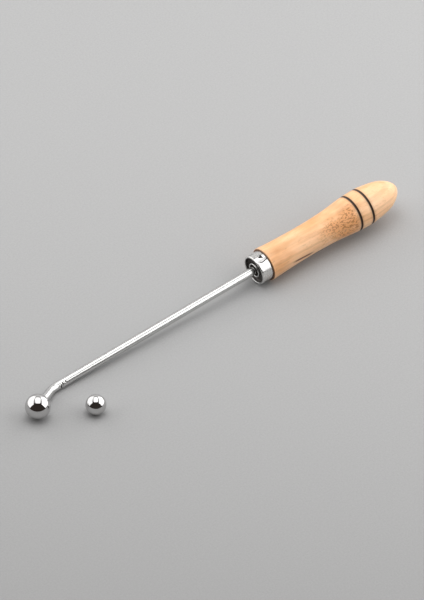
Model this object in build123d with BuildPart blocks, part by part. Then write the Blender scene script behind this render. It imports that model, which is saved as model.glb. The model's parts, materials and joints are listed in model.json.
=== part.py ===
from build123d import *
import os
from math import asin, atan2, cos, degrees, hypot, radians, sin, sqrt, tan

os.makedirs("parts", exist_ok=True)

# A ball-ended mandrel: wooden handle, pressed ferrule, bent steel rod and a screw-on
# steel ball, with a smaller spare ball beside it. Everything lies on the plane Z = 0.
# +X runs from the ball towards the handle's butt. Millimetres.

# ------------------------------------------------------------- driving dimensions
# stations are distances from the ferrule's front rim, along the handle
ferrule_radius = 9.8
ferrule_wall = 1.0
ferrule_length = 8.0
shoulder_radius = 11.2
shoulder_rounding = 0.8
neck_station = 20.9
neck_radius = 10.56
waist_station = 40.2
waist_radius = 10.1
palm_station = 59.8
palm_radius = 10.62
belly_station = 84.4
belly_radius = 12.44
belly_arc = 100.0
belly_front = 8.0
belly_back = 6.0
butt_curve = ((101.1, 10.55), (106.6, 8.65), (112.1, 4.7))
butt_station = 114.4

rod_radius = 2.75
rod_reach = 158.1
bend_angle = 34.2
bend_radius = 12.0
tip_reach = 23.3

ball_radius = 8.0
spare_ball_radius = 6.55
spare_ball_ahead = 30.2
spare_ball_aside = 19.0

thread_radius = 2.0
running_clearance = 0.05
glue_gap = 0.03
ball_hole_depth = 7.5
rod_hole_depth = 8.0
stud_in_rod = 7.0
stud_in_ball = 6.5
stud_chamfer = 0.4
drill_point_angle = 59.0

groove_stations = (77.6, 86.9)
groove_width = 1.3
groove_depth = 0.7

# ------------------------------------------------------------- how the tool lies
# It rests on three points: the handle's rounded shoulder, the rod at the start of its
# bend, and the ball. The rod's slope follows from the first two, and the roll of the
# bend from the third.
bend_tangent = bend_radius * tan(radians(bend_angle / 2))
rounding_station = ferrule_length + shoulder_rounding
rounding_height = shoulder_radius - shoulder_rounding
rounding_to_bend = rod_reach + rounding_station - bend_tangent
slope = atan2(rounding_height, rounding_to_bend)
slope -= asin((rod_radius - shoulder_rounding) / hypot(rounding_to_bend, rounding_height))
corner_height = rod_radius - bend_tangent * sin(slope)

bend = radians(bend_angle)
rise = (ball_radius - corner_height) / tip_reach
roll = asin((rise + cos(bend) * sin(slope)) / (sin(bend) * cos(slope)))

along = Vector(cos(slope), 0, sin(slope))
upright = Vector(-sin(slope), 0, cos(slope))
sideways = Vector(0, -1, 0)
lean = sideways * cos(roll) + upright * sin(roll)
tip_direction = along * -cos(bend) + lean * sin(bend)


def seat_distance(radius):
    """From a ball's centre to the flat that is as wide as the rod."""
    return sqrt(radius**2 - rod_radius**2)


# the origin is under the middle of the whole set's box
ball_from_corner = tip_direction * tip_reach
spare_from_corner = ball_from_corner + Vector(spare_ball_ahead, -spare_ball_aside, 0)
box_low_x = ball_from_corner.X - ball_radius
box_high_x = (along * (rod_reach + butt_station)).X
box_low_y = spare_from_corner.Y - spare_ball_radius
box_high_y = belly_radius
corner = Vector(
    -(box_low_x + box_high_x) / 2,
    -(box_low_y + box_high_y) / 2,
    corner_height,
)
rim = corner + along * rod_reach
ball_centre = corner + ball_from_corner
spare_centre = Vector(
    corner.X + spare_from_corner.X,
    corner.Y + spare_from_corner.Y,
    seat_distance(spare_ball_radius),
)
rod_end = ball_centre - tip_direction * seat_distance(ball_radius)

# section planes through the handle's axis and across it
handle_section = Plane(origin=rim, x_dir=along, z_dir=sideways)
handle_axis = Axis(rim, along)
bend_plane = Plane(origin=corner, x_dir=along, z_dir=along.cross(lean))


def across_handle(station):
    """The plane across the handle at a station, facing the butt."""
    return Plane(origin=rim + along * station, x_dir=sideways, z_dir=along)


# ------------------------------------------------------------- tang and barbs
tang_end = 56.0
tang_point = 3.0
tang_taper = 1.2
tang_bore_spare = 2.0
wing_start = 18.0
wing_length = 9.0
wing_span = 8.4
wing_thickness = 1.5

web_front = 2.2
web_back = 3.1
hole_radius = 4.1
inner_radius = ferrule_radius - ferrule_wall

barb_station = 5.0
barb_size = 2.0
barb_depth = 0.8
barb_floor = 0.3
barb_angles = (6.0, 186.0)


def barb_plane(angle, radius):
    """Outward-facing plane at the barb's station, turned about the handle's axis."""
    out = upright * cos(radians(angle)) + sideways * sin(radians(angle))
    return Plane(origin=rim + along * barb_station + out * radius, x_dir=along, z_dir=out)


# ------------------------------------------------------------- handle
def belly_height(from_belly):
    return belly_radius - belly_arc + sqrt(belly_arc**2 - from_belly**2)


shoulder_slope = -0.06
spigot_radius = inner_radius - glue_gap
spigot_front = web_back + glue_gap
arc_start = (belly_station - belly_front, belly_height(belly_front))
arc_end = (belly_station + belly_back, belly_height(belly_back))
bore_radius = rod_radius + glue_gap
bore_end = tang_end + tang_bore_spare

with BuildPart() as handle:
    with BuildSketch(handle_section) as outline:
        with BuildLine():
            front = Line((spigot_front, 0), (spigot_front, spigot_radius))
            spigot = Line(front @ 1, (ferrule_length, spigot_radius))
            shoulder = Line(spigot @ 1, (ferrule_length, shoulder_radius))
            grip = Spline(
                shoulder @ 1,
                (neck_station, neck_radius),
                (waist_station, waist_radius),
                (palm_station, palm_radius),
                arc_start,
                tangents=[(1, shoulder_slope), (sqrt(belly_arc**2 - belly_front**2), belly_front)],
            )
            belly = RadiusArc(grip @ 1, arc_end, belly_arc)
            butt = Spline(
                belly @ 1,
                *butt_curve,
                (butt_station, 0),
                tangents=[(sqrt(belly_arc**2 - belly_back**2), -belly_back), (0, -1)],
            )
            Line(butt @ 1, front @ 0)
        make_face()
        fillet(outline.vertices().sort_by_distance(shoulder @ 1)[0], radius=shoulder_rounding)
    revolve(axis=handle_axis)

    # burnt grooves
    with BuildSketch(handle_section):
        for station in groove_stations:
            with Locations((station, belly_height(station - belly_station))):
                Ellipse(groove_width / 2, groove_depth)
    revolve(axis=handle_axis, mode=Mode.SUBTRACT)

    # bore for the tang, and the slots that its wings cut
    with BuildSketch(across_handle(0)):
        Circle(bore_radius)
    extrude(amount=bore_end, mode=Mode.SUBTRACT)
    with BuildSketch(across_handle(wing_start - glue_gap)):
        Rectangle(wing_thickness + 2 * glue_gap, wing_span + 2 * glue_gap)
    extrude(amount=wing_length + 2 * glue_gap, mode=Mode.SUBTRACT)

    # dents under the ferrule's barbs
    for angle in barb_angles:
        with BuildSketch(barb_plane(angle, ferrule_radius)):
            RegularPolygon(barb_size / 2 + 2 * glue_gap, 3, rotation=180)
        extrude(amount=-(ferrule_wall + barb_depth + glue_gap), mode=Mode.SUBTRACT)

handle.part.label = "handle"
export_step(handle.part, "parts/handle.step")

# ------------------------------------------------------------- ferrule
# a pressed cap: rounded rim, dished front, and a raised lip round the rod's hole
lip_front = 0.1
lip_radius = 4.8
lip_flare = 0.3
rim_inner = 8.7
dish_radius = 8.3
rim_rounding = 0.7
rim_inner_rounding = 0.35
lip_rounding = 0.3
dish_rounding = 0.6
near = 0.01
with BuildPart() as ferrule:
    with BuildSketch(handle_section) as section:
        with BuildLine():
            Polyline(
                (ferrule_length, ferrule_radius),
                (0, ferrule_radius),
                (0, rim_inner),
                (web_front, dish_radius),
                (web_front, lip_radius + lip_flare),
                (lip_front, lip_radius),
                (lip_front, hole_radius),
                (web_back, hole_radius),
                (web_back, inner_radius),
                (ferrule_length, inner_radius),
                close=True,
            )
        make_face()
        fillet(section.vertices().sort_by_distance((0, ferrule_radius))[0], radius=rim_rounding)
        fillet(section.vertices().sort_by_distance((0, rim_inner))[0], radius=rim_inner_rounding)
        lip_corners = section.vertices().filter_by_position(Axis.X, lip_front - near, lip_front + near)
        fillet(lip_corners, radius=lip_rounding)
        dish_corners = section.vertices().filter_by_position(Axis.X, web_front - near, web_front + near)
        fillet(dish_corners, radius=dish_rounding)
    revolve(axis=handle_axis)

    # punched barbs: a triangle of the wall is driven into the wood
    for angle in barb_angles:
        with BuildSketch(barb_plane(angle, inner_radius - barb_depth)):
            RegularPolygon(barb_size / 2, 3, rotation=180)
        extrude(amount=barb_depth + barb_floor)
        with BuildSketch(barb_plane(angle, inner_radius + barb_floor)):
            RegularPolygon(barb_size / 2, 3, rotation=180)
        extrude(amount=ferrule_wall, mode=Mode.SUBTRACT)

ferrule.part.label = "ferrule"
export_step(ferrule.part, "parts/ferrule.step")

# ------------------------------------------------------------- shank
tip_length = (rod_end - corner).length
with BuildPart() as shank:
    with BuildLine(bend_plane) as route:
        FilletPolyline(
            (rod_reach + tang_end, 0),
            (0, 0),
            (-tip_length * cos(bend), tip_length * sin(bend)),
            radius=bend_radius,
        )
    with BuildSketch(across_handle(tang_end)):
        Circle(rod_radius)
    sweep()

    # pointed tang with two pressed wings
    tang_rim = shank.edges().filter_by(GeomType.CIRCLE).sort_by(handle_axis)[-1]
    chamfer(tang_rim, length=tang_point, length2=tang_taper)
    with BuildSketch(across_handle(wing_start)):
        Rectangle(wing_thickness, wing_span)
    extrude(amount=wing_length)

    # blind tapped hole in the end
    with Locations(Plane(origin=rod_end, z_dir=tip_direction)):
        Hole(radius=thread_radius + running_clearance, depth=rod_hole_depth)

shank.part.label = "shank"
export_step(shank.part, "parts/shank.step")

# ------------------------------------------------------------- stud
with BuildPart() as tip_stud:
    with BuildSketch(Plane(origin=rod_end - tip_direction * stud_in_rod, z_dir=tip_direction)):
        Circle(thread_radius)
    extrude(amount=stud_in_rod + stud_in_ball)
    chamfer(tip_stud.edges().filter_by(GeomType.CIRCLE), length=stud_chamfer)

tip_stud.part.label = "tip_stud"
export_step(tip_stud.part, "parts/tip_stud.step")


# ------------------------------------------------------------- balls
def tapped_ball(centre, mouth_direction, radius):
    """A ball with a flat and a blind tapped hole that open in mouth_direction."""
    seat = Plane(origin=centre + mouth_direction * seat_distance(radius), z_dir=mouth_direction)
    hole = thread_radius + running_clearance
    point = hole / tan(radians(drill_point_angle))
    with BuildPart(Plane(origin=centre, z_dir=mouth_direction)) as ball:
        Sphere(radius)
        split(bisect_by=seat, keep=Keep.BOTTOM)
        with BuildSketch(seat):
            Circle(hole)
        extrude(amount=-ball_hole_depth, mode=Mode.SUBTRACT)
        with Locations(seat.offset(-ball_hole_depth - point / 2)):
            Cone(0, hole, point, mode=Mode.SUBTRACT)
    return ball


tip_ball = tapped_ball(ball_centre, -tip_direction, ball_radius)
tip_ball.part.label = "tip_ball"
export_step(tip_ball.part, "parts/tip_ball.step")

spare_ball = tapped_ball(spare_centre, Vector(0, 0, -1), spare_ball_radius)
spare_ball.part.label = "spare_ball"
export_step(spare_ball.part, "parts/spare_ball.step")

# ------------------------------------------------------------- what the record states
print("slope", degrees(slope), "roll", degrees(roll))
print("tip direction", tip_direction)
print("rod end", rod_end, "ball centre", ball_centre)
print("spare ball centre", spare_centre)
print("rim", rim, "corner", corner, "along", along)
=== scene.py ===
import json
import math

import bmesh
import bpy
from mathutils import Matrix, Vector, noise


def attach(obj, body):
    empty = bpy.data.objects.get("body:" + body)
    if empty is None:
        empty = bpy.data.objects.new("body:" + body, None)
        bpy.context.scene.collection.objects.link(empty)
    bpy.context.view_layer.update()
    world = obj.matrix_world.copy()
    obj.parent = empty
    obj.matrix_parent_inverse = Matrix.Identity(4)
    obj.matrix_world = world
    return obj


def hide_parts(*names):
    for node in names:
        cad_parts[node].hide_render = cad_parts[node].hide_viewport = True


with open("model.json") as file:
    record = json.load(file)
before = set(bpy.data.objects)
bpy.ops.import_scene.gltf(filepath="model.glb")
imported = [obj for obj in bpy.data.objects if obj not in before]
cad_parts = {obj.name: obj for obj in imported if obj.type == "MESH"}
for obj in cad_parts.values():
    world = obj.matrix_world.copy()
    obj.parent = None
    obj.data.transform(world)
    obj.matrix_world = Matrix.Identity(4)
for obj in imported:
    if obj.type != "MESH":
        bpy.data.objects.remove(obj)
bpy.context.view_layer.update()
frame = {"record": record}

record = frame["record"]
MM = 0.001
TURN = 2 * math.pi


# ------------------------------------------------------------------ the frame
def stated(group, name):
    """The record's entry of that name in one of its lists."""
    return next(entry for entry in group if entry["name"] == name)


grip_mount = stated(record["mounts"], "handle_grip")
spare_mount = stated(record["mounts"], "spare_ball_thread")
ball_turn = stated(record["behaviour"]["joints"], "ball_turn")
ball_advance = stated(record["behaviour"]["joints"], "ball_advance")

along = Vector(grip_mount["axis"]).normalized()
tip_direction = Vector(ball_advance["axis"]).normalized()
rim = Vector(grip_mount["pos_m"]) - along * 50 * MM
rod_end = Vector(ball_turn["pos_m"])
spare_seat = Vector(spare_mount["pos_m"])
down = Vector((0, 0, -1))
sideways = Vector((0, -1, 0))
upright = sideways.cross(along)

# where the rod's two straight runs meet
gap = rod_end - rim
bend_cos = (-along).dot(tip_direction)
tip_run = (gap.dot(tip_direction) - gap.dot(-along) * bend_cos) / (1 - bend_cos**2)
corner = rod_end - tip_direction * tip_run
bend = math.acos(bend_cos)

# ------------------------------------------------------------------ sizes, metres
FERRULE_RADIUS = 9.8 * MM
FERRULE_LENGTH = 8.0 * MM
FERRULE_INSIDE = 8.8 * MM
WEB_FRONT = 2.2 * MM
WEB_BACK = 3.1 * MM
ROD_OPENING = 4.1 * MM
ROD_RADIUS = 2.75 * MM
BEND_RADIUS = 12.0 * MM
SETBACK = BEND_RADIUS * math.tan(bend / 2)  # from the corner to the bend's start and end
TANG_END = 56.0 * MM
TANG_POINT = 3.2 * MM
TANG_TAPER = 1.2 * MM
BALL_RADIUS = 8.0 * MM
SPARE_RADIUS = 6.55 * MM
BORE_RADIUS = 2.78 * MM
SPIGOT_FRONT = 3.13 * MM
SPIGOT_RADIUS = 8.7 * MM
SHOULDER = 8.02 * MM
STUD_RADIUS = 2.0 * MM
HOLE_RADIUS = 2.05 * MM
COUNTERSINK = 0.3 * MM
PITCH = 0.7 * MM
THREAD_DEPTH = 0.38 * MM
STUD_IN_ROD = 7.0 * MM
STUD_IN_BALL = 6.5 * MM
HOLE_DEPTH = 7.5 * MM
ROD_HOLE_DEPTH = 8.0 * MM
GROOVES = (77.6 * MM, 86.9 * MM)
GROOVE_HALF_WIDTH = 0.65 * MM
GROOVE_DEPTH = 0.7 * MM
BARB_STATION = 5.0 * MM
BARB_ANGLES = (6.0, 186.0)
BARB_RADIUS = 1.9 * MM
# the seam's path: millimetres from the rim, and degrees from upright towards sideways
SEAM = ((2.0, 22.5), (2.7, 26.2), (3.5, 28.4), (4.6, 28.2), (6.4, 25.8), (7.5, 24.4), (8.4, 24.0))
SEAM_HALF_WIDTH = 1.7
SEAM_FLOOR = 9.5 * MM
CLEAR_OUT = 10.3 * MM


# ------------------------------------------------------------------ mesh helpers
def finished(mesh, name, material, body, replaced):
    """Turns a bmesh into a piece that rides on its body and stands for its CAD node."""
    bmesh.ops.recalc_face_normals(mesh, faces=mesh.faces)
    data = bpy.data.meshes.new(name)
    mesh.to_mesh(data)
    mesh.free()
    data.shade_smooth()
    piece = bpy.data.objects.new(name, data)
    bpy.context.collection.objects.link(piece)
    piece.data.materials.append(material)
    even = piece.modifiers.new("even_normals", "WEIGHTED_NORMAL")
    even.keep_sharp = True
    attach(piece, body)
    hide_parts(replaced)
    return piece


def across(axis):
    """Two directions at right angles to an axis, the first as upright as it can be."""
    up = Vector((0, 0, 1)) if abs(axis.z) < 0.9 else Vector((1, 0, 0))
    first = (up - axis * up.dot(axis)).normalized()
    return first, axis.cross(first)


def skin(mesh, ring, following):
    """Faces between two rings; a ring of one vertex is a pole."""
    count = max(len(ring), len(following))
    for i in range(count):
        j = (i + 1) % count
        quad = [ring[i % len(ring)], ring[j % len(ring)]]
        quad += [following[j % len(following)], following[i % len(following)]]
        unique = list(dict.fromkeys(quad))
        mesh.faces.new(unique)


def lathe(mesh, origin, axis, profile, segments, shift=None, closed=False):
    """A turned body: profile lists (distance along the axis, radius).
    shift(distance, radius, angle) may move a point in or out."""
    first, second = across(axis)
    rings = []
    for distance, radius in profile:
        if radius < 1e-7:
            rings.append([mesh.verts.new(origin + axis * distance)])
            continue
        ring = []
        for i in range(segments):
            angle = TURN * i / segments
            moved = radius + (shift(distance, radius, angle) if shift else 0)
            out = first * math.cos(angle) + second * math.sin(angle)
            ring.append(mesh.verts.new(origin + axis * distance + out * moved))
        rings.append(ring)
    for ring, following in zip(rings, rings[1:]):
        skin(mesh, ring, following)
    if closed:
        skin(mesh, rings[-1], rings[0])
    return rings


def rounded(corners, closed=False, steps=6):
    """A profile from (distance, radius, fillet) corners."""
    points = []
    last = len(corners) - 1
    for i, (distance, radius, fillet) in enumerate(corners):
        here = Vector((distance, radius))
        if fillet == 0 or (not closed and i in (0, last)):
            points.append(tuple(here))
            continue
        back = (Vector(corners[i - 1][:2]) - here).normalized()
        ahead = (Vector(corners[(i + 1) % len(corners)][:2]) - here).normalized()
        half = back.angle(ahead) / 2
        centre = here + (back + ahead).normalized() * fillet / math.sin(half)
        start = (here + back * fillet / math.tan(half) - centre).normalized()
        end = (here + ahead * fillet / math.tan(half) - centre).normalized()
        for k in range(steps + 1):
            points.append(tuple(centre + start.slerp(end, k / steps) * fillet))
    return points


def filled(profile, longest):
    """The same profile with no run longer than `longest`."""
    points = [profile[0]]
    for start, end in zip(profile, profile[1:]):
        pieces = max(1, math.ceil(math.dist(start, end) / longest - 1e-6))
        for k in range(1, pieces + 1):
            share = k / pieces
            points.append(
                (start[0] + (end[0] - start[0]) * share, start[1] + (end[1] - start[1]) * share)
            )
    return points


def smooth_run(points, first_tangent, last_tangent, steps):
    """A smooth curve through points, with set directions at its two ends."""
    tangents = [Vector(first_tangent)]
    for before, after in zip(points, points[2:]):
        tangents.append((Vector(after) - Vector(before)).normalized())
    tangents.append(Vector(last_tangent))
    curve = [points[0]]
    for i in range(len(points) - 1):
        start, end = Vector(points[i]), Vector(points[i + 1])
        span = (end - start).length
        for k in range(1, steps + 1):
            t = k / steps
            point = start * (2 * t**3 - 3 * t**2 + 1) + end * (3 * t**2 - 2 * t**3)
            point += tangents[i] * span * (t**3 - 2 * t**2 + t)
            point += tangents[i + 1] * span * (t**3 - t**2)
            curve.append(tuple(point))
    return curve


# ------------------------------------------------------------------ material helpers
def material(name):
    """A new material, with its node tree and its shader."""
    made = bpy.data.materials.new(name)
    made.use_nodes = True
    shader = made.node_tree.nodes["Principled BSDF"]
    return made, made.node_tree, shader


def node(tree, kind, **values):
    """A shader node with some of its settings or unlinked inputs set by name."""
    made = tree.nodes.new(kind)
    for key, value in values.items():
        if hasattr(made, key):
            setattr(made, key, value)
        else:
            made.inputs[key.replace("_", " ")].default_value = value
    return made


def ramp(tree, source, stops):
    """A colour ramp on a value: stops lists (position, (r, g, b) or grey)."""
    made = tree.nodes.new("ShaderNodeValToRGB")
    tree.links.new(source, made.inputs["Fac"])
    elements = made.color_ramp.elements
    while len(elements) < len(stops):
        elements.new(0.5)
    for element, (position, colour) in zip(elements, stops):
        element.position = position
        rgb = colour if isinstance(colour, tuple) else (colour,) * 3
        element.color = (*rgb, 1)
    return made.outputs["Color"]


def mixed(tree, blend, share, base, layer):
    """base and layer mixed; share is a number or a socket."""
    made = tree.nodes.new("ShaderNodeMix")
    made.data_type = "RGBA"
    made.blend_type = blend
    for value, socket in ((share, 0), (base, 6), (layer, 7)):
        if isinstance(value, (int, float)):
            made.inputs[socket].default_value = value
        elif isinstance(value, tuple):
            made.inputs[socket].default_value = (*value, 1)
        else:
            tree.links.new(value, made.inputs[socket])
    return made.outputs[2]


def place(tree, scale, rotation=(0, 0, 0), offset=(0, 0, 0)):
    """Coordinates of the piece's own surface, in metres, stretched by scale."""
    where = tree.nodes.new("ShaderNodeTexCoord")
    mapping = node(tree, "ShaderNodeMapping")
    mapping.inputs["Location"].default_value = offset
    mapping.inputs["Rotation"].default_value = rotation
    mapping.inputs["Scale"].default_value = scale
    tree.links.new(where.outputs["Object"], mapping.inputs["Vector"])
    return mapping.outputs["Vector"]


def speckle(tree, where, scale, detail=3.0, roughness=0.5):
    """Noise on those coordinates, as a socket."""
    made = node(tree, "ShaderNodeTexNoise", Scale=scale, Detail=detail)
    made.inputs["Roughness"].default_value = roughness
    tree.links.new(where, made.inputs["Vector"])
    return made.outputs["Fac"]


def bump(tree, shader, height, strength, distance):
    made = node(tree, "ShaderNodeBump", Strength=strength, Distance=distance)
    tree.links.new(height, made.inputs["Height"])
    tree.links.new(made.outputs["Normal"], shader.inputs["Normal"])


def reach(tree, direction):
    """Distance from the ferrule's rim in a direction, as a socket."""
    where = tree.nodes.new("ShaderNodeTexCoord")
    product = node(tree, "ShaderNodeVectorMath", operation="DOT_PRODUCT")
    tree.links.new(where.outputs["Object"], product.inputs[0])
    product.inputs[1].default_value = direction
    return maths(tree, "SUBTRACT", product.outputs["Value"], rim.dot(direction))


def maths(tree, operation, first, second=0.0):
    """A sum or other operation on two numbers or sockets."""
    made = node(tree, "ShaderNodeMath", operation=operation)
    for value, socket in ((first, made.inputs[0]), (second, made.inputs[1])):
        if isinstance(value, (int, float)):
            socket.default_value = value
        else:
            tree.links.new(value, socket)
    return made.outputs[0]


def between(tree, value, low, high):
    """0 below low, 1 above high, smooth between; low may be the larger."""
    made = node(tree, "ShaderNodeMapRange", interpolation_type="SMOOTHSTEP")
    tree.links.new(value, made.inputs["Value"])
    falling = low > high
    made.inputs["From Min"].default_value = min(low, high)
    made.inputs["From Max"].default_value = max(low, high)
    made.inputs["To Min"].default_value = 1 if falling else 0
    made.inputs["To Max"].default_value = 0 if falling else 1
    return made.outputs["Result"]


# ------------------------------------------------------------------ materials
def wood():
    """Pale turned wood: grain, a flecked figure, pores, a streak, the burnt grooves and painted shade
    where it meets the ferrule.
    """
    made, tree, shader = material("turned_wood")
    axis_turn = (0, math.asin(along.z), 0)
    grain = place(tree, (0.05, 1, 1), axis_turn, (0.013, 0.004, 0.007))
    broad = speckle(tree, place(tree, (0.35, 1, 1), axis_turn), 75, 3, 0.55)
    base = ramp(
        tree,
        broad,
        [(0.30, (0.76, 0.36, 0.14)), (0.50, (0.95, 0.555, 0.295)), (0.70, (0.98, 0.635, 0.385))],
    )
    rings = node(tree, "ShaderNodeTexWave", wave_type="BANDS", bands_direction="Z")
    rings.inputs["Scale"].default_value = 70
    rings.inputs["Distortion"].default_value = 7
    rings.inputs["Detail"].default_value = 3
    rings.inputs["Detail Scale"].default_value = 1.2
    tree.links.new(grain, rings.inputs["Vector"])
    ring_tone = ramp(tree, rings.outputs["Fac"], [(0.0, 0.80), (0.55, 1.0), (1.0, 0.93)])
    base = mixed(tree, "MULTIPLY", 0.75, base, ring_tone)
    fibre = speckle(tree, place(tree, (0.03, 1, 1), axis_turn), 1500, 4, 0.6)
    fibre_tone = ramp(tree, fibre, [(0.35, 0.82), (0.6, 1.0)])
    base = mixed(tree, "MULTIPLY", 0.45, base, fibre_tone)

    # a darker, flecked figure on the lower side of the belly
    distance = reach(tree, along)
    ragged = speckle(tree, place(tree, (0.45, 1, 1), axis_turn, (0.05, 0, 0)), 190, 3, 0.6)
    stirred = maths(tree, "MULTIPLY", maths(tree, "SUBTRACT", ragged, 0.5), 14 * MM)
    figure_angle = math.radians(58)
    lower = upright * math.cos(figure_angle) + sideways * math.sin(figure_angle)
    figure = between(tree, maths(tree, "ADD", reach(tree, lower), stirred), 6.4 * MM, 10.4 * MM)
    start = between(tree, maths(tree, "ADD", distance, stirred), 38 * MM, 64 * MM)
    figure = maths(tree, "MULTIPLY", figure, start)
    figure = maths(tree, "MULTIPLY", figure, between(tree, distance, 77.5 * MM, 73 * MM))
    base = mixed(tree, "MIX", maths(tree, "MULTIPLY", figure, 0.8), base, (0.74, 0.34, 0.12))

    # short dark pores everywhere, and brown flecks in the figure
    pores = speckle(tree, place(tree, (0.22, 1, 1), axis_turn), 1300, 1, 0.5)
    pore_mask = ramp(tree, pores, [(0.64, 0.0), (0.72, 0.55)])
    base = mixed(tree, "MIX", maths(tree, "MULTIPLY", pore_mask, 0.5), base, (0.42, 0.19, 0.07))
    flecks = speckle(tree, place(tree, (0.5, 1, 1), axis_turn, (0.02, 0.01, 0)), 1300, 1, 0.4)
    fleck_mask = maths(tree, "MULTIPLY", ramp(tree, flecks, [(0.49, 0.0), (0.60, 0.75)]), figure)
    base = mixed(tree, "MIX", fleck_mask, base, (0.30, 0.11, 0.03))

    # one dark streak low on the near side of the grip
    slant = reach(tree, upright + along * 0.108)
    away = maths(tree, "ABSOLUTE", maths(tree, "SUBTRACT", slant, 2.2 * MM))
    streak = between(tree, away, 1.0 * MM, 0.45 * MM)
    streak = maths(tree, "MULTIPLY", streak, between(tree, distance, 22 * MM, 28 * MM))
    streak = maths(tree, "MULTIPLY", streak, between(tree, distance, 42 * MM, 36 * MM))
    streak = maths(tree, "MULTIPLY", streak, between(tree, reach(tree, sideways), 2 * MM, 6 * MM))
    base = mixed(tree, "MIX", maths(tree, "MULTIPLY", streak, 0.95), base, (0.12, 0.035, 0.01))

    # painted shade: the wood's shoulder face where it meets the ferrule is darkened
    seat = between(tree, distance, 8.35 * MM, 8.05 * MM)
    base = mixed(tree, "MIX", maths(tree, "MULTIPLY", seat, 0.9), base, (0.09, 0.035, 0.015))

    # the grooves are burnt, with a faint scorch beside them
    burnt = None
    for groove in GROOVES:
        size = maths(tree, "ABSOLUTE", maths(tree, "SUBTRACT", distance, groove))
        burnt = size if burnt is None else maths(tree, "MINIMUM", burnt, size)
    scaled = maths(tree, "MULTIPLY", burnt, 1 / (2.4 * MM))
    char = ramp(tree, scaled, [(0.0, 1.0), (0.30, 0.97), (0.42, 0.25), (1.0, 0.0)])
    base = mixed(tree, "MIX", char, base, (0.035, 0.014, 0.006))
    tree.links.new(base, shader.inputs["Base Color"])

    sheen = ramp(tree, fibre, [(0.3, 0.50), (0.7, 0.36)])
    tree.links.new(sheen, shader.inputs["Roughness"])
    shader.inputs["Specular IOR Level"].default_value = 0.42
    shader.inputs["Coat Weight"].default_value = 0.12
    shader.inputs["Coat Roughness"].default_value = 0.28
    shader.inputs["Subsurface Weight"].default_value = 0.06
    shader.inputs["Subsurface Radius"].default_value = (0.0012, 0.0006, 0.0003)
    relief = mixed(tree, "ADD", 0.6, fibre, pores)
    bump(tree, shader, relief, 0.35, 0.00005)
    return made


def metal(name, colour, rough, smear, streaks, bump_size):
    """Bright steel: smear is the size of its softer patches, streaks stretches the
    fine polishing marks along X."""
    made, tree, shader = material(name)
    shader.inputs["Metallic"].default_value = 1.0
    patches = speckle(tree, place(tree, (1, 1, 1)), smear, 4, 0.6)
    tone = ramp(tree, patches, [(0.3, tuple(c * 0.93 for c in colour)), (0.7, colour)])
    marks = speckle(tree, place(tree, streaks), 2600, 3, 0.6)
    mark_tone = ramp(tree, marks, [(0.3, 0.9), (0.6, 1.0)])
    tree.links.new(mixed(tree, "MULTIPLY", 0.5, tone, mark_tone), shader.inputs["Base Color"])
    both = mixed(tree, "MIX", 0.5, patches, marks)
    low, high = rough
    tree.links.new(ramp(tree, both, [(0.35, low), (0.65, high)]), shader.inputs["Roughness"])
    bump(tree, shader, marks, 0.2, bump_size)
    return made


def paint_shade(made, mask, colour, roughness):
    """Paints shade on the material: a duller, darker colour where mask is 1."""
    tree = made.node_tree
    shader = tree.nodes["Principled BSDF"]
    for name, value in (("Base Color", colour), ("Roughness", (roughness,) * 3)):
        clean = shader.inputs[name].links[0].from_socket
        tree.links.new(mixed(tree, "MIX", mask, clean, value), shader.inputs[name])


def from_axis(tree):
    """Distance from the handle's axis, as a socket."""
    where = tree.nodes.new("ShaderNodeTexCoord")
    apart = node(tree, "ShaderNodeVectorMath", operation="DISTANCE")
    tree.links.new(where.outputs["Object"], apart.inputs[0])
    apart.inputs[1].default_value = rim
    ahead = reach(tree, along)
    square = maths(tree, "POWER", apart.outputs["Value"], 2)
    return maths(tree, "SQRT", maths(tree, "SUBTRACT", square, maths(tree, "MULTIPLY", ahead, ahead)))


def shade_ferrule(made):
    """Painted shade in the barbs, the seam and the other recesses behind the rim, and a lighter
    painted shade on the recessed dish.
    """
    tree = made.node_tree
    ahead = reach(tree, along)
    out = from_axis(tree)
    # painted shade: surfaces sunk below the outer wall behind the rim, the barbs and the seam among
    # them, turn nearly black
    cut = between(tree, out, FERRULE_RADIUS - 0.08 * MM, FERRULE_RADIUS - 0.2 * MM)
    recess_shade = maths(tree, "MULTIPLY", cut, between(tree, ahead, 1.5 * MM, 1.9 * MM))
    paint_shade(made, recess_shade, (0.012, 0.011, 0.010), 0.6)
    # painted shade: the recessed dish between the rim and the lip turns dark grey
    within_rim = between(tree, out, 8.8 * MM, 8.5 * MM)
    inside = maths(tree, "MULTIPLY", within_rim, between(tree, out, 4.9 * MM, 5.3 * MM))
    patches = speckle(tree, place(tree, (1, 1, 1)), 420, 3, 0.6)
    inside = maths(tree, "MULTIPLY", inside, ramp(tree, patches, [(0.3, 0.75), (0.7, 1.0)]))
    paint_shade(made, inside, (0.10, 0.09, 0.085), 0.38)


def shade_rod(made):
    """Painted shade in the bending tool's marks: the dents are darkened."""
    tree = made.node_tree
    before_bend = maths(tree, "ADD", reach(tree, along), (corner - rim).length - SETBACK)
    # painted shade where the marks dent the surface
    dented = between(tree, from_axis(tree), ROD_RADIUS - 0.04 * MM, ROD_RADIUS - 0.15 * MM)
    recess_shade = maths(tree, "MULTIPLY", dented, between(tree, before_bend, 0, 0.4 * MM))
    recess_shade = maths(tree, "MULTIPLY", recess_shade, between(tree, before_bend, 9 * MM, 8 * MM))
    paint_shade(made, recess_shade, (0.03, 0.028, 0.026), 0.5)


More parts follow.
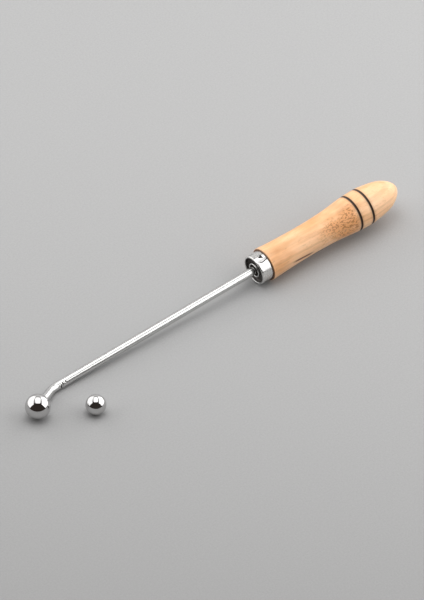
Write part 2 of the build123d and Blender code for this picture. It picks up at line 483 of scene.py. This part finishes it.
def floor_material():
    """A plain pale floor with a fine mottle."""
    made, tree, shader = material("pale_floor")
    mottle = speckle(tree, place(tree, (1, 1, 1)), 900, 4, 0.6)
    tone = ramp(tree, mottle, [(0.3, (0.345, 0.345, 0.345)), (0.7, (0.385, 0.385, 0.385))])
    tree.links.new(tone, shader.inputs["Base Color"])
    shader.inputs["Roughness"].default_value = 0.85
    shader.inputs["Specular IOR Level"].default_value = 0.25
    bump(tree, shader, mottle, 0.3, 0.0002)
    return made


# ------------------------------------------------------------------ handle
def groove_dip(distance):
    """How deep the burnt grooves are at a station."""
    dip = 0
    for groove in GROOVES:
        share = (distance - groove) / GROOVE_HALF_WIDTH
        if abs(share) < 1:
            dip = GROOVE_DEPTH * math.sqrt(1 - share**2)
    return dip


def build_handle():
    """The turned handle, from the bottom of its bore round to the butt."""
    outside = smooth_run(
        [
            (8.8 * MM, 11.16 * MM),
            (20.9 * MM, 10.56 * MM),
            (40.2 * MM, 10.1 * MM),
            (59.8 * MM, 10.62 * MM),
            (76.4 * MM, 12.12 * MM),
            (84.4 * MM, 12.44 * MM),
            (90.4 * MM, 12.26 * MM),
            (101.1 * MM, 10.55 * MM),
            (106.6 * MM, 8.65 * MM),
            (112.1 * MM, 4.7 * MM),
            (114.4 * MM, 0),
        ],
        (1, -0.06),
        (0, -1),
        26,
    )
    outside = filled(outside, 0.55 * MM)
    fine = []
    for start, end in zip(outside, outside[1:]):
        near = any(abs(start[0] - groove) < 1.4 * MM for groove in GROOVES)
        fine += filled([start, end], 0.09 * MM if near else 1)[:-1]
    outside = [(s, r - groove_dip(s)) for s, r in fine] + [outside[-1]]
    # the bore for the tang, the spigot inside the ferrule and the shoulder behind it
    front = rounded(
        [
            (58.2 * MM, 0, 0),
            (57.0 * MM, BORE_RADIUS, 0),
            (SPIGOT_FRONT, BORE_RADIUS, 0.25 * MM),
            (SPIGOT_FRONT, SPIGOT_RADIUS, 0.3 * MM),
            (SHOULDER, SPIGOT_RADIUS, 0.1 * MM),
            (SHOULDER, 11.2 * MM, 0.75 * MM),
            (8.8 * MM, 11.16 * MM, 0),
        ]
    )
    profile = filled(front[:-1], 1.2 * MM) + outside

    def uneven(distance, radius, angle):
        """A hand-turned surface: shallow, broad unevenness outside only."""
        if distance < 8.8 * MM or radius < 4 * MM:
            return 0
        spot = Vector((distance * 60, math.cos(angle) * 1.2, math.sin(angle) * 1.2))
        return noise.noise(spot) * 0.05 * MM - 0.03 * MM

    mesh = bmesh.new()
    lathe(mesh, rim, along, profile, 144, uneven)
    return finished(mesh, "turned_handle", wood(), "tool", "handle")


# ------------------------------------------------------------------ ferrule
def on_ferrule(distance, angle, radius):
    """A point round the ferrule, the angle in degrees from upright towards sideways."""
    turned = math.radians(angle)
    return rim + along * distance + (upright * math.cos(turned) + sideways * math.sin(turned)) * radius


def prism(mesh, sections):
    """A closed solid through rings with the same number of points."""
    rings = [[mesh.verts.new(point) for point in section] for section in sections]
    for ring, following in zip(rings, rings[1:]):
        skin(mesh, ring, following)
    mesh.faces.new(rings[0])
    mesh.faces.new(rings[-1])


def build_ferrule(steel):
    """The pressed cap, with its two punched barbs and the seam of its rolled wall."""
    profile = rounded(
        [
            (FERRULE_LENGTH, FERRULE_RADIUS, 0.2 * MM),
            (0, FERRULE_RADIUS, 0.7 * MM),
            (0, 8.7 * MM, 0.35 * MM),
            (WEB_FRONT, 8.3 * MM, 0.6 * MM),
            (WEB_FRONT, 5.1 * MM, 0.6 * MM),
            (0.1 * MM, 4.8 * MM, 0.3 * MM),
            (0.1 * MM, ROD_OPENING, 0.3 * MM),
            (WEB_BACK, ROD_OPENING, 0.1 * MM),
            (WEB_BACK, FERRULE_INSIDE, 0.1 * MM),
            (FERRULE_LENGTH, FERRULE_INSIDE, 0.1 * MM),
        ],
        closed=True,
    )
    mesh = bmesh.new()
    lathe(mesh, rim, along, filled(profile, 0.5 * MM), 192, closed=True)
    piece = finished(mesh, "pressed_ferrule", steel, "tool", "ferrule")

    mesh = bmesh.new()
    for angle in BARB_ANGLES:
        floors = []
        for radius_at_apex, radius_at_base in ((9.55 * MM, 8.87 * MM), (CLEAR_OUT, CLEAR_OUT)):
            corners = []
            for k in range(3):
                ahead = -BARB_RADIUS * math.cos(TURN * k / 3)
                aside = BARB_RADIUS * math.sin(TURN * k / 3)
                radius = radius_at_apex if k == 0 else radius_at_base
                turn = math.degrees(aside / FERRULE_RADIUS)
                corners.append(on_ferrule(BARB_STATION + ahead, angle + turn, radius))
            floors.append(corners)
        prism(mesh, floors)
    sections = []
    for distance, angle in SEAM:
        low_side, high_side = angle - SEAM_HALF_WIDTH, angle + SEAM_HALF_WIDTH
        sections.append(
            [
                on_ferrule(distance * MM, low_side, SEAM_FLOOR),
                on_ferrule(distance * MM, high_side, SEAM_FLOOR),
                on_ferrule(distance * MM, high_side, CLEAR_OUT),
                on_ferrule(distance * MM, low_side, CLEAR_OUT),
            ]
        )
    prism(mesh, sections)
    bmesh.ops.recalc_face_normals(mesh, faces=mesh.faces)
    data = bpy.data.meshes.new("cutter")
    mesh.to_mesh(data)
    mesh.free()
    cutter = bpy.data.objects.new("cutter", data)
    bpy.context.collection.objects.link(cutter)
    cut = piece.modifiers.new("cut", "BOOLEAN")
    cut.operation = "DIFFERENCE"
    cut.solver = "EXACT"
    cut.object = cutter
    piece.modifiers["even_normals"].show_viewport = False
    bpy.context.view_layer.update()
    evaluated = piece.evaluated_get(bpy.context.evaluated_depsgraph_get())
    carved = bpy.data.meshes.new_from_object(evaluated)
    piece.modifiers.remove(cut)
    piece.modifiers["even_normals"].show_viewport = True
    bpy.data.objects.remove(cutter)
    bpy.data.meshes.remove(data)
    piece.data = carved
    carved.name = "pressed_ferrule"
    carved.set_sharp_from_angle(angle=math.radians(38))
    return piece


# ------------------------------------------------------------------ rod
# marks of the bending tool: distance before the bend, angle up from sideways, spread, depth
MARKS = ((1.6 * MM, 2, 34, 0.50 * MM), (2.9 * MM, 34, 20, 0.36 * MM), (5.4 * MM, 48, 13, 0.34 * MM))
MARKS_END = 7.0 * MM


def thread_wave(distance, angle, hand=1):
    """0 on a thread's crest and 1 in its root."""
    turn = (distance / PITCH - hand * angle / TURN) % 1
    return min(1, max(0, 1.5 - abs(turn - 0.5) * 4))


def build_rod(steel):
    """The bent rod, with a pointed tang at one end and a tapped hole in the other."""
    start = corner + along * SETBACK
    end = corner + tip_direction * SETBACK
    inward = (along + tip_direction).normalized()
    centre = corner + inward * BEND_RADIUS / math.cos(bend / 2)
    route = [(rim + along * TANG_END, -along), (rim + along * (TANG_END - TANG_POINT), -along)]
    # rings lie closer together over the marks near the bend
    straight = (route[1][0] - start).length
    before_bend = [straight * (1 - k / 110) for k in range(1, 110)]
    before_bend = [ahead for ahead in before_bend if ahead > MARKS_END]
    before_bend += [MARKS_END * (1 - k / 70) for k in range(70)]
    route += [(start + along * ahead, -along) for ahead in before_bend]
    normal = along.cross(tip_direction).normalized()
    for k in range(25):
        turn = Matrix.Rotation(-bend * k / 24, 3, normal)
        route.append((centre + turn @ (start - centre), turn @ -along))
    if (route[-1][0] - end).length > 1e-5:
        raise ValueError("the rod's bend doesn't meet its tip")
    for k in range(1, 21):
        route.append((end.lerp(rod_end, k / 20), tip_direction))

    mesh = bmesh.new()
    segments = 64
    rings = []
    radii = [ROD_RADIUS - TANG_TAPER] + [ROD_RADIUS] * (len(route) - 2) + [ROD_RADIUS - 0.12 * MM]

    def marked(middle, out):
        """How deep the bending tool's marks are at a point of the rod's surface."""
        ahead = (middle - start).dot(along)
        around = math.degrees(math.atan2(out.dot(upright), out.dot(sideways)))
        depth = 0
        for distance, angle, spread, deep in MARKS:
            near = math.exp(-(((ahead - distance) / (0.28 * MM)) ** 2))
            depth = max(depth, deep * near * math.exp(-(((around - angle) / spread) ** 4)))
        return depth

    for (middle, direction), radius in zip(route, radii):
        second = direction.cross(normal)
        ring = []
        for i in range(segments):
            turned = TURN * i / segments
            out = normal * math.cos(turned) + second * math.sin(turned)
            ring.append(mesh.verts.new(middle + out * (radius - marked(middle, out))))
        rings.append(ring)
    for ring, following in zip(rings, rings[1:]):
        skin(mesh, ring, following)
    mesh.faces.new(rings[0])
    # the end face, its tapped hole and the drill's point
    hole = [(0, HOLE_RADIUS + COUNTERSINK), (-0.25 * MM, HOLE_RADIUS)]
    hole += [(-ROD_HOLE_DEPTH, HOLE_RADIUS), (-ROD_HOLE_DEPTH - 1.1 * MM, 0)]
    last = rings[-1]
    for distance, radius in hole:
        if radius == 0:
            ring = [mesh.verts.new(rod_end + tip_direction * distance)]
        else:
            second = tip_direction.cross(normal)
            ring = []
            for i in range(segments):
                turned = TURN * i / segments
                out = normal * math.cos(turned) + second * math.sin(turned)
                ring.append(mesh.verts.new(rod_end + tip_direction * distance + out * radius))
        skin(mesh, last, ring)
        last = ring
    return finished(mesh, "bent_rod", steel, "tool", "shank")


# ------------------------------------------------------------------ stud and balls
def build_stud(steel):
    """The threaded stud between the rod and the mounted ball."""
    length = STUD_IN_ROD + STUD_IN_BALL
    count = math.ceil(length / PITCH * 10)
    profile = [(0, 0)]
    profile += [(length * k / count, STUD_RADIUS) for k in range(count + 1)]
    profile += [(length, 0)]

    def cut(distance, radius, angle):
        chamfer = max(0, 0.5 * MM - min(distance, length - distance))
        return -max(chamfer, THREAD_DEPTH * thread_wave(distance, angle))

    mesh = bmesh.new()
    lathe(mesh, rod_end - tip_direction * STUD_IN_ROD, tip_direction, profile, 48, cut)
    return finished(mesh, "threaded_stud", steel, "stud", "tip_stud")


def build_ball(name, seat, mouth, radius, steel, body, replaced):
    """A polished ball whose flat and tapped hole open along mouth. seat is the flat's centre."""
    to_seat = math.sqrt(radius**2 - ROD_RADIUS**2)
    centre = seat - mouth * to_seat
    opening = math.acos(to_seat / radius)
    around = [
        (-radius * math.cos(math.pi * k / 96), radius * math.sin(math.pi * k / 96))
        for k in range(97)
        if math.pi * k / 96 < math.pi - opening - 0.01
    ]
    around[0] = (-radius, 0)
    edge = (to_seat, ROD_RADIUS)
    mouth_ring = (to_seat, HOLE_RADIUS + COUNTERSINK)
    steps = math.ceil(HOLE_DEPTH / PITCH * 8)
    top = 0.25 * MM
    bore = [
        (to_seat - top - (HOLE_DEPTH - top) * k / steps, HOLE_RADIUS) for k in range(steps + 1)
    ]
    bottom = (to_seat - HOLE_DEPTH - 1.2 * MM, 0)
    profile = [*around, edge, mouth_ring, *bore, bottom]

    def cut(distance, point_radius, angle):
        deep = to_seat - distance
        inside = abs(point_radius - HOLE_RADIUS) < 1e-6 and deep > 0.2 * MM
        if not inside:
            return 0
        fade = min(1, max(0, (deep - 0.3 * MM) / PITCH), max(0, (HOLE_DEPTH - deep) / PITCH))
        return THREAD_DEPTH * fade * thread_wave(distance, angle)

    mesh = bmesh.new()
    lathe(mesh, centre, mouth, profile, 96, cut)
    return finished(mesh, name, steel, body, replaced)


nickel = metal("nickel_plate", (0.74, 0.735, 0.72), (0.20, 0.30), 300, (1, 1, 1), 0.000002)
drawn = metal("drawn_steel", (0.66, 0.66, 0.65), (0.16, 0.24), 200, (0.01, 1, 1), 0.000001)
turned = metal("machined_steel", (0.62, 0.62, 0.63), (0.22, 0.38), 400, (1, 1, 1), 0.00001)
mirror = metal("mirror_steel", (0.62, 0.615, 0.61), (0.015, 0.07), 250, (1, 1, 1), 0.000002)

shade_ferrule(nickel)
shade_rod(drawn)
build_handle()
build_ferrule(nickel)
build_rod(drawn)
build_stud(turned)
build_ball("mounted_ball", rod_end, -tip_direction, BALL_RADIUS, mirror, "mounted_ball", "tip_ball")
build_ball("loose_ball", spare_seat, down, SPARE_RADIUS, mirror, "loose_ball", "spare_ball")


# ------------------------------------------------------------------ stage
def build_floor():
    """A flat floor under the set."""
    mesh = bmesh.new()
    bmesh.ops.create_grid(mesh, x_segments=1, y_segments=1, size=3.0)
    data = bpy.data.meshes.new("floor")
    mesh.to_mesh(data)
    mesh.free()
    floor = bpy.data.objects.new("floor", data)
    bpy.context.collection.objects.link(floor)
    data.materials.append(floor_material())


AZIMUTH = math.radians(-38.04)
ELEVATION = math.radians(43.64)
LENS = 400
SENSOR = 36
VIEW_HEIGHT = 375 * MM
AIM_LEFT = 26.05 * MM
AIM_BELOW = 18.37 * MM
TENT = 0.8
toward = Vector(
    (
        math.sin(AZIMUTH) * math.cos(ELEVATION),
        -math.cos(AZIMUTH) * math.cos(ELEVATION),
        math.sin(ELEVATION),
    )
)
right = Vector((math.cos(AZIMUTH), math.sin(AZIMUTH), 0))
above = toward.cross(right)


def build_camera():
    """A long lens at the viewing angle, aimed left of the ferrule and below it."""
    data = bpy.data.cameras.new("camera")
    data.lens = LENS
    data.sensor_width = SENSOR
    camera = bpy.data.objects.new("camera", data)
    bpy.context.collection.objects.link(camera)
    aim = rim - right * AIM_LEFT - above * AIM_BELOW
    camera.location = aim + toward * VIEW_HEIGHT * LENS / SENSOR
    camera.rotation_mode = "QUATERNION"
    camera.rotation_quaternion = toward.to_track_quat("Z", "Y")
    data.clip_start = 0.05
    data.clip_end = 20
    bpy.context.scene.camera = camera


def softbox(name, low_edge, high_edge, width, radiance):
    """A panel between two level edges, given by their middles, that faces the object."""
    data = bpy.data.lights.new(name, "AREA")
    data.shape = "RECTANGLE"
    data.size, data.size_y = width, (high_edge - low_edge).length
    data.energy = radiance * math.pi * data.size * data.size_y
    light = bpy.data.objects.new(name, data)
    bpy.context.collection.objects.link(light)
    light.location = Vector((rod_end.x, rod_end.y, 0)) + (low_edge + high_edge) / 2
    rise = (high_edge - low_edge).normalized()
    facing = -(low_edge + high_edge).normalized()
    facing = (facing - rise * facing.dot(rise)).normalized()
    level = rise.cross(-facing)
    light.rotation_mode = "QUATERNION"
    light.rotation_quaternion = Matrix((level, rise, -facing)).transposed().to_quaternion()


def build_lights():
    """A light tent: sloping sides, a roof and a dimmer back, with a dim ceiling over the
    narrow gaps between them."""
    forward = Vector((-toward.x, -toward.y, 0)).normalized()

    def spot(aside, ahead, height):
        return (right * aside + forward * ahead + Vector((0, 0, height))) * TENT

    softbox("left_side", spot(-1.0, 0.32, 0.03), spot(-0.52, 0.32, 0.94), 1.68 * TENT, 1.68)
    softbox("right_side", spot(1.12, 0.32, 0.03), spot(0.60, 0.32, 0.94), 1.68 * TENT, 2.3)
    softbox("ceiling", spot(0.03, -0.20, 1.06), spot(0.03, 0.97, 1.06), 1.24 * TENT, 0.6)
    softbox("roof", spot(0.03, -0.30, 1.0), spot(0.03, 0.87, 1.0), 0.66 * TENT, 2.35)
    softbox("back", spot(0.03, 1.02, 0.03), spot(0.03, 0.97, 0.8), 1.3 * TENT, 0.75)
    world = bpy.data.worlds.new("studio")
    world.use_nodes = True
    background = world.node_tree.nodes["Background"]
    background.inputs["Color"].default_value = (0.62, 0.50, 0.44, 1)
    background.inputs["Strength"].default_value = 0.07
    bpy.context.scene.world = world
    bpy.context.scene.view_settings.view_transform = "Standard"


build_floor()
build_camera()
build_lights()
